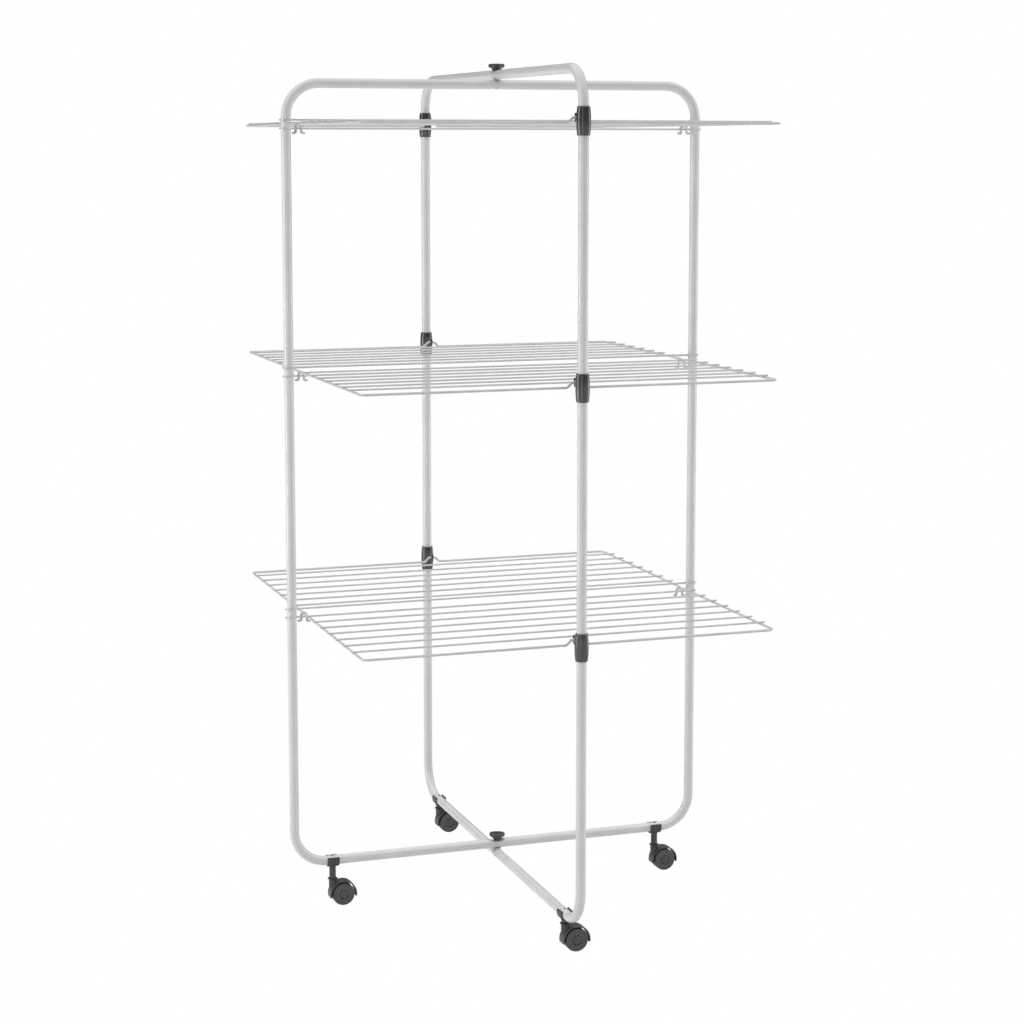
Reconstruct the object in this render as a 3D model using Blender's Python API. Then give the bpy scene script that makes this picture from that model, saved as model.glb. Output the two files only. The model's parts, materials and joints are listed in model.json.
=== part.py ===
"""Folding tower clothes airer: two crossed loops of round tube, three pairs of wire shelves, four castors.

The inner frame stands in the XZ plane and the outer frame, which is wider and taller, in the YZ plane. They
pivot about the Z axis on two bolts. Each shelf is a front half and a back half that hang on one hinge rod
between the inner frame's uprights, and rest on hooked collars on the outer frame's uprights.
Metres, +Z up, origin on the floor at the centre of the plan.
"""

import math

import bmesh
import bpy
from mathutils import Matrix, Vector

# Frame tubes
TUBE_R = 0.008
TUBE_WALL = 0.0012
BEND_R = 0.056
INNER_HALF = 0.364
OUTER_HALF = 0.416
OUTER_BOTTOM_Z = 0.0628
OUTER_TOP_Z = 1.4132
CROSS_STEP = 0.0164
INNER_BOTTOM_Z = OUTER_BOTTOM_Z + CROSS_STEP
INNER_TOP_Z = OUTER_TOP_Z - CROSS_STEP

# Shelves: level of the rails, half size of the plan, wire sizes
SHELF_NAMES = ("lower", "middle", "upper")
SHELF_LEVELS = (0.5144, 0.9221, 1.3298)
SHELF_HALF_X = 0.345
SHELF_HALF_Y = 0.385
RODS_PER_HALF = 7
ROD_PITCH = SHELF_HALF_Y / (RODS_PER_HALF + 1)
RAIL_R = 0.0021
ROD_R = 0.0016
ROD_END = 0.0065
ROD_LIFT = RAIL_R + ROD_R - 0.0007
CORNER_R = 0.010
BUMP_HEIGHT = 0.0082
BUMP_TOP = 0.0058
BUMP_EASE = 0.0015
CROSS_ROD_R = 0.002
CROSS_ROD_STEP = 0.0071
CROSS_ROD_END = INNER_HALF + TUBE_R + 0.0035
EYE_R = CROSS_ROD_R + RAIL_R + 0.0005
EYE_SHIFT = 0.0026

# Collars with a hook, on the outer frame's uprights
COLLAR_HEIGHT = 0.0445
COLLAR_RISE = 0.0025
COLLAR_END_R = 0.0102
COLLAR_MID_R = 0.0113
HOOK_HALF_W = 0.0023
HOOK_LOW = 0.0008
HOOK_HIGH = 0.0165
HOOK_LIP = 0.0022

# Pivot bolts, knobs and spacers
BOLT_R = 0.003
BOLT_HEAD_R = 0.0065
BOLT_HEAD_H = 0.0024
SPACER_R = 0.007
SPACER_H = 0.0010
DIMPLE_R = 0.0076
DIMPLE_DEPTH = 0.0006
SEAT_R = 0.0102
SEAT_DEPTH = 0.0030
KNOB_R = 0.0132
KNOB_H = 0.0130
KNOB_BOSS_R = 0.0076
KNOB_LOBES = 3
KNOB_SWELL = 0.085
KNOB_TURN = math.radians(-109)

# Castors
INNER_CASTOR = 0.298
OUTER_CASTOR = 0.345
WHEEL_R = 0.0192
WHEEL_IN = 0.0024
WHEEL_OUT = 0.0118
TRAIL = 0.0172
HOOD_R = 0.0234
HOOD_IN_R = 0.0207
HOOD_HALF_W = 0.0095
WEB_HALF_W = 0.0018
NECK_R = 0.0066
NECK_TOP = 0.0477
FLANGE_R = 0.0086
HUB_R = 0.0078
STEM_R = 0.0059
JAW_R = 0.0108
JAW_LENGTH = 0.0203
JAW_ANGLE = math.radians(36)
PIN_R = 0.002
AXLE_R = 0.002

GAP = 0.0003
TUBE_SIDES = 12
BORE_SIDES = 8
WIRE_SIDES = 6
WHEEL_SIDES = 20

WHITE = (0.80, 0.80, 0.81)
WIRE_WHITE = (0.74, 0.74, 0.75)
DARK = (0.075, 0.077, 0.080)
STEEL = (0.60, 0.60, 0.60)
BLACK = (0.05, 0.05, 0.05)
NYLON = (0.42, 0.42, 0.41)


def material(name, colour, roughness, metallic):
    """One Principled material."""
    mat = bpy.data.materials.new(name)
    mat.use_nodes = True
    shader = mat.node_tree.nodes["Principled BSDF"]
    shader.inputs["Base Color"].default_value = (*colour, 1.0)
    shader.inputs["Roughness"].default_value = roughness
    shader.inputs["Metallic"].default_value = metallic
    return mat


def add(name, bm, look, parent=None, location=(0, 0, 0), turn=0.0):
    """Make an object of a bmesh, shaded smooth, with its own material."""
    bmesh.ops.recalc_face_normals(bm, faces=bm.faces)
    mesh = bpy.data.meshes.new(name)
    bm.to_mesh(mesh)
    bm.free()
    mesh.shade_smooth()
    mesh.set_sharp_from_angle(angle=math.radians(40))
    obj = bpy.data.objects.new(name, mesh)
    bpy.context.scene.collection.objects.link(obj)
    obj.location = location
    obj.rotation_euler.z = turn
    obj.parent = parent
    if look:
        mesh.materials.append(material(name, *look))
    return obj


def helper(name, bm, target, operation):
    """A hidden solid that is joined to, or cut from, its target."""
    obj = add(name, bm, None, target.parent, target.location, target.rotation_euler.z)
    obj.hide_render = True
    obj.display_type = "WIRE"
    step = target.modifiers.new(name, "BOOLEAN")
    step.operation = operation
    step.solver = "EXACT"
    step.object = obj
    return obj


def empty(name, location):
    """A point that other objects are placed from."""
    obj = bpy.data.objects.new(name, None)
    bpy.context.scene.collection.objects.link(obj)
    obj.location = location
    return obj


def lathe(profile, segments, bm=None, matrix=Matrix(), closed=False):
    """Turn a profile of (radius, height) about Z: closed profiles make rings, open ones end on the axis."""
    bm = bm or bmesh.new()
    rings = []
    for radius, height in profile:
        if radius < 1e-9:
            rings.append([bm.verts.new(matrix @ Vector((0, 0, height)))])
            continue
        angles = [2 * math.pi * (k + 0.5) / segments for k in range(segments)]
        points = [Vector((radius * math.cos(a), radius * math.sin(a), height)) for a in angles]
        rings.append([bm.verts.new(matrix @ p) for p in points])
    pairs = list(zip(rings, rings[1:] + rings[:1])) if closed else list(zip(rings, rings[1:]))
    for low, high in pairs:
        for k in range(segments):
            n = (k + 1) % segments
            corners = [low[k % len(low)], low[n % len(low)], high[n % len(high)], high[k % len(high)]]
            face = list(dict.fromkeys(corners))
            if len(face) > 2:
                bm.faces.new(face)
    return bm


def cylinder(radius, low, high, segments, bm=None, matrix=Matrix()):
    """A plain closed cylinder along the matrix's Z."""
    return lathe([(0, low), (radius, low), (radius, high), (0, high)], segments, bm, matrix)


def sweep(path, radius, sides, closed=False, bm=None):
    """Carry a regular polygon along a path; its frame turns as little as it can."""
    bm = bm or bmesh.new()
    count = len(path)
    rings = []
    side = None
    for k, point in enumerate(path):
        before = path[k - 1] if closed or k else point
        after = path[(k + 1) % count] if closed or k < count - 1 else point
        ahead = (after - before).normalized()
        if side is None:
            side = ahead.orthogonal().normalized()
        side = (side - side.dot(ahead) * ahead).normalized()
        other = ahead.cross(side)
        angles = [2 * math.pi * (n + 0.5) / sides for n in range(sides)]
        offsets = [radius * (math.cos(a) * side + math.sin(a) * other) for a in angles]
        rings.append([bm.verts.new(point + offset) for offset in offsets])
    pairs = list(zip(rings, rings[1:]))
    if closed:
        pairs.append((rings[-1], rings[0]))
    else:
        bm.faces.new(reversed(rings[0]))
        bm.faces.new(rings[-1])
    for low, high in pairs:
        for n in range(sides):
            m = (n + 1) % sides
            bm.faces.new((low[n], low[m], high[m], high[n]))
    return bm


def prism(outline, low, high, matrix=Matrix()):
    """Extrude an outline of (x, y) points from low to high along the matrix's Z."""
    bm = bmesh.new()
    bottom = [bm.verts.new(matrix @ Vector((x, y, low))) for x, y in outline]
    top = [bm.verts.new(matrix @ Vector((x, y, high))) for x, y in outline]
    bm.faces.new(bottom)
    bm.faces.new(top)
    for k in range(len(outline)):
        n = (k + 1) % len(outline)
        bm.faces.new((bottom[k], bottom[n], top[n], top[k]))
    return bm


def arc(centre, radius, start, stop, steps):
    """Points (x, y) along an arc, in radians, both ends included."""
    angles = [start + (stop - start) * k / steps for k in range(steps + 1)]
    return [(centre[0] + radius * math.cos(a), centre[1] + radius * math.sin(a)) for a in angles]


def loop_path(half, low, high, along):
    """The centre line of a frame: a rectangle with round corners in the plane of `along` and Z."""
    points = []
    corners = (
        ((half - BEND_R, high - BEND_R), 0.0),
        ((-half + BEND_R, high - BEND_R), 0.5 * math.pi),
        ((-half + BEND_R, low + BEND_R), math.pi),
        ((half - BEND_R, low + BEND_R), 1.5 * math.pi),
    )
    for centre, start in corners:
        points += arc(centre, BEND_R, start, start + 0.5 * math.pi, 5)
    return [u * along + Vector((0, 0, z)) for u, z in points]


ALONG_X = Matrix.Rotation(math.pi / 2, 4, "Y")
ALONG_Y = Matrix.Rotation(-math.pi / 2, 4, "X")


def at(x, y, z, turn=Matrix()):
    """A matrix that turns and then moves."""
    return Matrix.Translation((x, y, z)) @ turn


def press(bm, z, way, floor, radius):
    """A round cutter that flattens one side of a bar at height z, down to floor from its centre line."""
    near, far = z + way * floor, z + way * 1.2 * TUBE_R
    cylinder(radius, min(near, far), max(near, far), 16, bm)


def frame(name, half, low, high, along, dimple_top, dimple_bottom, castor, rod_levels):
    """One tube loop, hollow, drilled for the pivot bolts, the castor pins and the cross rods.

    Each bar is pressed flat where the two frames cross: lightly towards the other frame, and deeper on its
    far side, where the knob or the bolt head sits. The wall follows the deeper seat.
    """
    path = loop_path(half, low, high, along)
    obj = add(name, sweep(path, TUBE_R, TUBE_SIDES, closed=True), (WHITE, 0.32, 0.0))
    bore = sweep(path, TUBE_R - TUBE_WALL, BORE_SIDES, closed=True)
    inside = helper(name + "_inside", bore, obj, "DIFFERENCE")
    cuts = bmesh.new()
    reach = 2 * TUBE_R
    for z in (low, high):
        cylinder(BOLT_R + GAP, z - reach, z + reach, 12, cuts)
    for side in (-1, 1):
        foot = side * castor * along
        cylinder(PIN_R + GAP, low - reach, low + reach, 10, cuts, at(foot.x, foot.y, 0))
        for z in rod_levels:
            cylinder(CROSS_ROD_R + GAP, -reach, reach, 10, cuts, at(side * half, 0, z, ALONG_X))
    helper(name + "_holes", cuts, obj, "DIFFERENCE")
    dimples, walls = bmesh.new(), bmesh.new()
    for z, way in ((high, dimple_top), (low, dimple_bottom)):
        press(dimples, z, way, TUBE_R - DIMPLE_DEPTH, DIMPLE_R)
        press(dimples, z, -way, TUBE_R - SEAT_DEPTH, SEAT_R)
        press(walls, z, -way, TUBE_R - SEAT_DEPTH - TUBE_WALL, SEAT_R + TUBE_WALL)
    helper(name + "_seat_walls", walls, inside, "DIFFERENCE")
    helper(name + "_dimples", dimples, obj, "DIFFERENCE")


def pivot(place, lower_z):
    """Bolt, spacer and knob at one crossing: the lower tube's centre is at lower_z."""
    upper_z = lower_z + CROSS_STEP
    seat = TUBE_R - SEAT_DEPTH + GAP
    head_top = lower_z - seat
    bolt_top = upper_z + seat + 0.0072
    bolt = [
        (0, head_top - BOLT_HEAD_H),
        (BOLT_HEAD_R - 0.0015, head_top - BOLT_HEAD_H),
        (BOLT_HEAD_R, head_top - 0.0010),
        (BOLT_HEAD_R, head_top),
        (BOLT_R, head_top),
        (BOLT_R, bolt_top),
        (0, bolt_top),
    ]
    add(place + "_bolt", lathe(bolt, 12), (STEEL, 0.35, 1.0))
    middle = lower_z + CROSS_STEP / 2
    inner, outer = BOLT_R + GAP, SPACER_R
    ring = [(inner, -SPACER_H / 2), (outer, -SPACER_H / 2), (outer, SPACER_H / 2), (inner, SPACER_H / 2)]
    add(place + "_spacer", lathe(ring, 16, closed=True), (NYLON, 0.5, 0.0), location=(0, 0, middle))
    knob(place + "_knob", upper_z + seat)


def knob(name, base):
    """A small three-lobed knob with a dished top, a conical underside and a blind threaded bore."""
    bore, depth = BOLT_R + GAP, 0.0078
    rim_low, rim_high = 0.0066, KNOB_H - 0.0018
    profile = [
        (0, depth),
        (bore, depth),
        (bore, 0),
        (KNOB_BOSS_R - 0.0024, 0),
        (KNOB_BOSS_R, 0.0032),
        (KNOB_R, rim_low),
        (KNOB_R, rim_high),
        (KNOB_R - 0.0020, KNOB_H),
        (KNOB_BOSS_R, KNOB_H),
        (0, KNOB_H - 0.0016),
    ]
    bm = lathe(profile, 8 * KNOB_LOBES)
    for vert in bm.verts:
        if math.hypot(vert.co.x, vert.co.y) > KNOB_BOSS_R + 0.001:
            swell = 1 + KNOB_SWELL * math.cos(KNOB_LOBES * math.atan2(vert.co.y, vert.co.x))
            vert.co.x *= swell
            vert.co.y *= swell
    add(name, bm, (DARK, 0.42, 0.0), location=(0, 0, base), turn=KNOB_TURN)


def cross_rods(name, level):
    """The middle rod of a shelf and, below it, its hinge rod, both through the inner frame's uprights."""
    for kind, step in (("middle_rod", CROSS_ROD_STEP), ("hinge_rod", -CROSS_ROD_STEP)):
        end, bevel = CROSS_ROD_END, 0.0006
        tip = [(0, -end), (CROSS_ROD_R - bevel, -end), (CROSS_ROD_R, -end + bevel)]
        profile = tip + [(radius, -height) for radius, height in reversed(tip)]
        bm = lathe(profile, 8, matrix=ALONG_X)
        add(f"{name}_{kind}", bm, (WIRE_WHITE, 0.35, 0.0), location=(0, 0, level + step))


def rail_path(side):
    """The rail of a half shelf, from eye to eye, about the hinge rod's centre.

    side is -1 for the front half and 1 for the back half. The halves are one shape turned by 180 degrees:
    both eyes step to the same side along X, so that the halves' eyes pass each other on the hinge rod.
    """
    level = CROSS_ROD_STEP
    half_x, half_y = SHELF_HALF_X, SHELF_HALF_Y
    eye = [(-y, z) for y, z in arc((0, 0), EYE_R, math.radians(-120), math.radians(90), 7)]
    eye.append((0.004, EYE_R + 0.0004))
    points = [Vector((half_x, side * 0.016, level))]
    for x, y in arc((half_x - CORNER_R, half_y - CORNER_R), CORNER_R, 0, math.pi / 2, 3):
        points.append(Vector((x, side * y, level)))
    foot, ease = BUMP_TOP + BUMP_HEIGHT, BUMP_EASE
    bump = [(foot + ease, 0), (foot - ease, ease)]
    bump += [(BUMP_TOP + ease, BUMP_HEIGHT - ease), (BUMP_TOP - ease, BUMP_HEIGHT)]
    points += [Vector((x, side * half_y, level + z)) for x, z in bump]
    points += [Vector((-p.x, p.y, p.z)) for p in reversed(points)]
    step = side * EYE_SHIFT
    right, left = ([Vector((x + step, side * y, z)) for y, z in eye] for x in (half_x, -half_x))
    return right + points + left[::-1]


def half_shelf(name, level, side):
    """One half shelf: a bent rail with seven rods welded on top, hung on the hinge rod by two eyes."""
    hinge = (0, 0, level - CROSS_ROD_STEP)
    rail = sweep(rail_path(side), RAIL_R, WIRE_SIDES)
    obj = add(name, rail, (WIRE_WHITE, 0.35, 0.0), location=hinge)
    rods = bmesh.new()
    reach = SHELF_HALF_X + ROD_END
    for k in range(1, RODS_PER_HALF + 1):
        place = at(0, side * k * ROD_PITCH, CROSS_ROD_STEP + ROD_LIFT, ALONG_X)
        cylinder(ROD_R, -reach, reach, WIRE_SIDES, rods, place)
    helper(name + "_rods", rods, obj, "UNION")


def collar(name, level, side):
    """A barrel collar on an outer upright, with a hook that reaches in under the shelf rail's bump."""
    half = COLLAR_HEIGHT / 2
    inner = TUBE_R + GAP
    profile = [(inner, -half)]
    profile += [(COLLAR_END_R - 0.0006, -half), (COLLAR_END_R, -half + 0.0012), (COLLAR_MID_R, -half / 3)]
    profile += [(COLLAR_MID_R, half / 3), (COLLAR_END_R, half - 0.0012), (COLLAR_END_R - 0.0006, half)]
    profile += [(inner, half)]
    place = (0, side * OUTER_HALF, level + COLLAR_RISE)
    obj = add(name, lathe(profile, 16, closed=True), (DARK, 0.42, 0.0), location=place)
    rail = OUTER_HALF - SHELF_HALF_Y
    slot = RAIL_R + GAP
    seat = BUMP_HEIGHT - slot
    near = rail - slot
    far = rail + slot
    outline = [
        (COLLAR_END_R - 0.0012, HOOK_LOW),
        (far + HOOK_LIP - 0.0012, HOOK_LOW),
        (far + HOOK_LIP, HOOK_LOW + 0.003),
        (far + HOOK_LIP, HOOK_HIGH - 0.002),
        (far + HOOK_LIP - 0.0008, HOOK_HIGH),
        (far, HOOK_HIGH - 0.001),
        (far, seat),
        (near, seat),
        (near, HOOK_HIGH - 0.004),
        (near - 0.004, HOOK_HIGH),
        (COLLAR_END_R - 0.0012, HOOK_HIGH),
    ]
    points = [(-side * reach, z - COLLAR_RISE) for reach, z in outline]
    upright = Matrix(((0, 0, 1, 0), (1, 0, 0, 0), (0, 1, 0, 0), (0, 0, 0, 1)))
    helper(name + "_hook", prism(points, -HOOK_HALF_W, HOOK_HALF_W, upright), obj, "UNION")


def castor_holder(name, tube_z, parent, turn):
    """Snap jaws round the bottom tube, with a round stem down to the swivel."""
    lips = arc((0, 0), JAW_R, JAW_ANGLE, -math.pi - JAW_ANGLE, 14)
    inside = arc((0, 0), TUBE_R + GAP, -math.pi - JAW_ANGLE, JAW_ANGLE, 14)
    upright = Matrix(((0, 0, 1, 0), (1, 0, 0, 0), (0, 1, 0, tube_z), (0, 0, 0, 1)))
    jaws = prism(lips + inside, -JAW_LENGTH / 2, JAW_LENGTH / 2, upright)
    obj = add(name, jaws, (DARK, 0.42, 0.0), parent=parent, turn=turn)
    stem = cylinder(STEM_R, NECK_TOP + GAP, tube_z - TUBE_R - 0.0014, 16)
    helper(name + "_stem", stem, obj, "UNION")
    bore = cylinder(PIN_R + GAP, 0, tube_z, 10)
    helper(name + "_bore", bore, obj, "DIFFERENCE")


def castor_hood(name, parent):
    """The swivelling hood: neck, fender over both wheels, and on the neck's side a web to the axle."""
    hub = at(TRAIL, 0, WHEEL_R, ALONG_Y)
    outline = arc((0, 0), HOOD_R, math.radians(-193), math.radians(13), 15)
    body = prism(outline, -HOOD_HALF_W, HOOD_HALF_W, hub)
    obj = add(name, body, (DARK, 0.42, 0.0), parent=parent)
    neck = [
        (0, WHEEL_R + 0.012),
        (NECK_R, WHEEL_R + 0.012),
        (NECK_R, NECK_TOP - 0.003),
        (FLANGE_R, NECK_TOP - 0.0016),
        (FLANGE_R, NECK_TOP - 0.0004),
        (FLANGE_R - 0.0004, NECK_TOP),
        (0, NECK_TOP),
    ]
    helper(name + "_neck", lathe(neck, 16), obj, "UNION")
    cuts = bmesh.new()
    for way in (-1, 1):
        low, high = sorted((way * WEB_HALF_W, way * 2 * HOOD_HALF_W))
        cylinder(HOOD_IN_R, low, high, 24, cuts, hub)
    helper(name + "_wheel_room", cuts, obj, "DIFFERENCE")
    start, stop = math.radians(-78), math.radians(40)
    gap = arc((0, 0), HOOD_IN_R - 0.0005, start, stop, 8) + arc((0, 0), HUB_R, stop, start, 8)
    helper(name + "_web_gap", prism(gap, -HOOD_HALF_W, HOOD_HALF_W, hub), obj, "DIFFERENCE")
    bores = bmesh.new()
    cylinder(PIN_R + GAP, WHEEL_R + 0.0135, 2 * NECK_TOP, 10, bores)
    cylinder(AXLE_R + GAP, -0.004, 0.004, 10, bores, hub)
    helper(name + "_bores", bores, obj, "DIFFERENCE")


def castor_wheel(name, parent, way):
    """One wheel of a twin castor: blind bore inside, capped hub and a rounded tread outside."""
    depth = WHEEL_OUT - WHEEL_IN
    bore = AXLE_R + GAP
    tread = WHEEL_R / math.cos(math.pi / WHEEL_SIDES)
    profile = [
        (0, depth - 0.0022),
        (bore, depth - 0.0022),
        (bore, 0),
        (tread - 0.0008, 0),
        (tread, 0.0008),
        (tread, depth - 0.0020),
        (tread - 0.0014, depth - 0.0006),
        (0.0072, depth),
        (0, depth),
    ]
    turn = ALONG_Y if way > 0 else Matrix.Rotation(math.pi / 2, 4, "X")
    bm = lathe(profile, WHEEL_SIDES, matrix=at(0, way * WHEEL_IN, 0, turn))
    add(name, bm, (DARK, 0.5, 0.0), parent=parent, location=(TRAIL, 0, WHEEL_R))


def castor(name, x, y, tube_z, turn):
    """One castor under a bottom tube; the wheels trail towards +X."""
    place = empty(name, (x, y, 0))
    castor_holder(name + "_holder", tube_z, place, turn)
    low, top = WHEEL_R + 0.014, tube_z + TUBE_R + 0.0009
    pin = [(0, low), (PIN_R, low), (PIN_R, top - 0.0007), (PIN_R - 0.0008, top), (0, top)]
    add(name + "_pin", lathe(pin, 10), (BLACK, 0.4, 0.0), parent=place)
    castor_hood(name + "_hood", place)
    reach = WHEEL_OUT - 0.0027
    axle = cylinder(AXLE_R, -reach, reach, 10, matrix=ALONG_Y)
    add(name + "_axle", axle, (STEEL, 0.35, 1.0), parent=place, location=(TRAIL, 0, WHEEL_R))
    for label, way in (("front", -1), ("back", 1)):
        castor_wheel(f"{name}_{label}_wheel", place, way)


def build():
    """Make the whole airer."""
    for obj in list(bpy.data.objects):
        bpy.data.objects.remove(obj)
    levels = [z + way * CROSS_ROD_STEP for z in SHELF_LEVELS for way in (-1, 1)]
    x_axis, y_axis = Vector((1, 0, 0)), Vector((0, 1, 0))
    frame("inner_frame", INNER_HALF, INNER_BOTTOM_Z, INNER_TOP_Z, x_axis, 1, -1, INNER_CASTOR, levels)
    frame("outer_frame", OUTER_HALF, OUTER_BOTTOM_Z, OUTER_TOP_Z, y_axis, -1, 1, OUTER_CASTOR, [])
    pivot("bottom", OUTER_BOTTOM_Z)
    pivot("top", INNER_TOP_Z)
    for label, level in zip(SHELF_NAMES, SHELF_LEVELS):
        cross_rods(label, level)
        for side_label, side in (("front", -1), ("back", 1)):
            half_shelf(f"{label}_{side_label}_shelf", level, side)
            collar(f"{label}_{side_label}_collar", level, side)
    castor("left_castor", -INNER_CASTOR, 0, INNER_BOTTOM_Z, 0)
    castor("right_castor", INNER_CASTOR, 0, INNER_BOTTOM_Z, 0)
    castor("front_castor", 0, -OUTER_CASTOR, OUTER_BOTTOM_Z, math.pi / 2)
    castor("back_castor", 0, OUTER_CASTOR, OUTER_BOTTOM_Z, math.pi / 2)


build()
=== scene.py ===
"""Looks of the folding tower clothes airer: powder coated tube and wire, moulded fittings and castors.

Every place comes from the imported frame. Node boxes give the tubes, shelves, collars, rods and knobs, and
joints give the castors' swivels and axles. Fine sizes that the frame only holds coarsely are the named
values below, in metres.
"""

import json
import math

import bmesh
import bpy
from mathutils import Matrix, Vector


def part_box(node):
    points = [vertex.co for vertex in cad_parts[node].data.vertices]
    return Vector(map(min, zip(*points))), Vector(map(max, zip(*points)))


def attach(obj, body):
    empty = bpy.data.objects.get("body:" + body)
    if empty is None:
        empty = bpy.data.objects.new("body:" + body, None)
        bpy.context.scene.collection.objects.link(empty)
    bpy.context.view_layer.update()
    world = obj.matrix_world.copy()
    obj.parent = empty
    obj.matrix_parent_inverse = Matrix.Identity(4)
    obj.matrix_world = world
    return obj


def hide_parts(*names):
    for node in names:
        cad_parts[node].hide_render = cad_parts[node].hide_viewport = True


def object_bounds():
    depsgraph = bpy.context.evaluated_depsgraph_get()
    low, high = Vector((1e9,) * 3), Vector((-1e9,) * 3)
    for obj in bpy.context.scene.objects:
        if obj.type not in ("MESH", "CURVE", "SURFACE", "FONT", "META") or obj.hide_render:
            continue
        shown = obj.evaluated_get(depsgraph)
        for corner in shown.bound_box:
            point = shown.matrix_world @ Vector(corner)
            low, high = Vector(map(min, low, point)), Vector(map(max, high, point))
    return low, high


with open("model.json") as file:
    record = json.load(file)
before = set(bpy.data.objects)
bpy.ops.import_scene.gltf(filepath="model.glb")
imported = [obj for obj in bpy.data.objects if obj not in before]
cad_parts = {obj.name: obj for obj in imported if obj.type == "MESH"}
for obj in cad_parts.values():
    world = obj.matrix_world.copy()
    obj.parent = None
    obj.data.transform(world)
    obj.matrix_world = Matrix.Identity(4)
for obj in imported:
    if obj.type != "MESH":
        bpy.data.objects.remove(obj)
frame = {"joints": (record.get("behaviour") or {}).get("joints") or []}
CAD_LOW, CAD_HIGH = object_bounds()
JOINTS = {joint["name"]: joint for joint in frame["joints"]}

# Frame tubes
TUBE_R = 0.008
BEND_R = 0.056
BEND_STEPS = 28
TUBE_SIDES = 48
FLAT_REACH = 0.0062
FLAT_BLEND = 0.0060
FLAT_DEPTH = 0.0006
SEAT_REACH = 0.0058
SEAT_BLEND = 0.0080
SEAT_DEPTH = 0.0030
BOLT_SEAT_DEPTH = 0.0008
CRIMP_REACH = 0.0014
CRIMP_BLEND = 0.0036
CRIMP_DEPTH = 0.0030
PRESS_EASE = 0.6
PRESS_SWELL = 0.16
FINE_REACH = 0.015
FINE_STEP = 0.0009

# Wires
RAIL_R = 0.0021
ROD_R = 0.0016
CROSS_R = 0.0016
WIRE_SIDES = 20
CAD_WIRE_SIDES = 6
RODS_PER_HALF = 7
WELD_SINK = 0.0007
ROD_LIFT = RAIL_R + ROD_R - WELD_SINK
RAIL_CORNER_R = 0.010
EYE_SHIFT = 0.0038
EYE_INSET = 0.0022
EYE_R = 0.0046
EYE_FOOT = 0.0065
EYE_DROP = 0.0026
EYE_STEM_Y = 0.0030
EYE_BEND_R = 0.0022
BUMP_HALF = 0.0058
BUMP_RISE = 0.0082
BUMP_FOOT_R = 0.0035
BUMP_TOP_R = 0.0030
WELD_R = 0.0014
WELD_LOW_R = 0.6 * WELD_R
WELD_LOW_Z = 0.8 * WELD_R
ROD_END = 0.0065
SIDE_RUN_START = 0.016

# Plastic fittings
BORE_GAP = 0.00015
COLLAR_END_R = 0.0102
COLLAR_MID_R = 0.0113
COLLAR_LIP = 0.0026
COLLAR_STEPS = 14
HOOK_HALF_W = 0.0019
HOOK_LOW = 0.0008
HOOK_HIGH = 0.0158
HOOK_LIP = 0.0016
HOOK_ROOT = COLLAR_END_R - 0.0012
HOOK_GAP = 0.0003
SPACER_BORE_R = 0.0033
SPACER_EASE = 0.0003
KNOB_R = 0.0133
KNOB_LOBES = 3
KNOB_SWELL = 0.085
KNOB_TURN = math.radians(-109)
STEM_R = 0.0059
JAW_R = 0.0108
JAW_LIP_R = 0.0116
JAW_LENGTH = 0.0203
JAW_ANGLE = math.radians(36)
FLANGE_R = 0.0086
NECK_R = 0.0066
FENDER_IN_R = 0.0216
FENDER_OUT_R = 0.0236
FENDER_HALF_W = 0.0114
FENDER_TIP = math.radians(13)
HUB_R = 0.0078
HOOD_LOW = 0.0115
WEB_HALF_W = 0.0016
WHEEL_IN = 0.0024
WHEEL_OUT = 0.0118
PIN_R = 0.0021

# Light
TENT_SLOPE = (0.20, 0.06, 2.40)
TENT_LEVEL = -0.67
TENT_LEAST = 0.02
STRIPS = (
    # name, azimuth in degrees, width, power
    ("left_strip", 174, 0.45, 47),
    ("right_strip", -12, 0.4, 28),
    ("front_strip", -121, 0.14, 8),
)
STRIP_HEIGHT = 3.0
STRIP_DISTANCE = 3.0
FLOOR_R = 30

# Camera
SENSOR_WIDTH = 36
LENS = 80.933
SHIFT_Y = -0.07
CAMERA_PLACE = (-1.2488, -3.7191, 1.2971)
CAMERA_PITCH = math.radians(-7.328)
CAMERA_YAW = math.radians(-18.944)

SHELF_NAMES = ("lower", "middle", "upper")
SIDES = (("front", -1), ("back", 1))
UP = Vector((0, 0, 1))
SHARP_ANGLE = math.radians(42)


# ---------------------------------------------------------------- places, read from the frame


def frame_places(node, along):
    """Half width, bottom and top of one tube loop's centre line; along is 0 for X and 1 for Y."""
    low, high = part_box(node)
    thick = high[1 - along]
    return high[along] - thick, low.z + thick, high.z - thick


INNER_HALF, INNER_BOTTOM, INNER_TOP = frame_places("inner_frame", 0)
OUTER_HALF, OUTER_BOTTOM, OUTER_TOP = frame_places("outer_frame", 1)


def centre_of(node):
    """The middle of a node's box."""
    low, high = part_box(node)
    return (low + high) / 2


def shelf_places(label):
    """Heights of a shelf's hinge rod, middle rod and rail."""
    hinge = centre_of(label + "_hinge_rod").z
    middle = centre_of(label + "_middle_rod").z
    return hinge, middle, (hinge + middle) / 2


def shelf_half_size():
    """Half size in X and Y of the shelves' rails, on their centre line."""
    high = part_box("lower_back_shelf")[1]
    rail_extent = RAIL_R * math.cos(math.pi / CAD_WIRE_SIDES)
    return high.x - ROD_END, round(high.y - rail_extent, 4)


SHELF_HALF_X, SHELF_HALF_Y = shelf_half_size()
ROD_PITCH = SHELF_HALF_Y / (RODS_PER_HALF + 1)


# ---------------------------------------------------------------- materials


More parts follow.
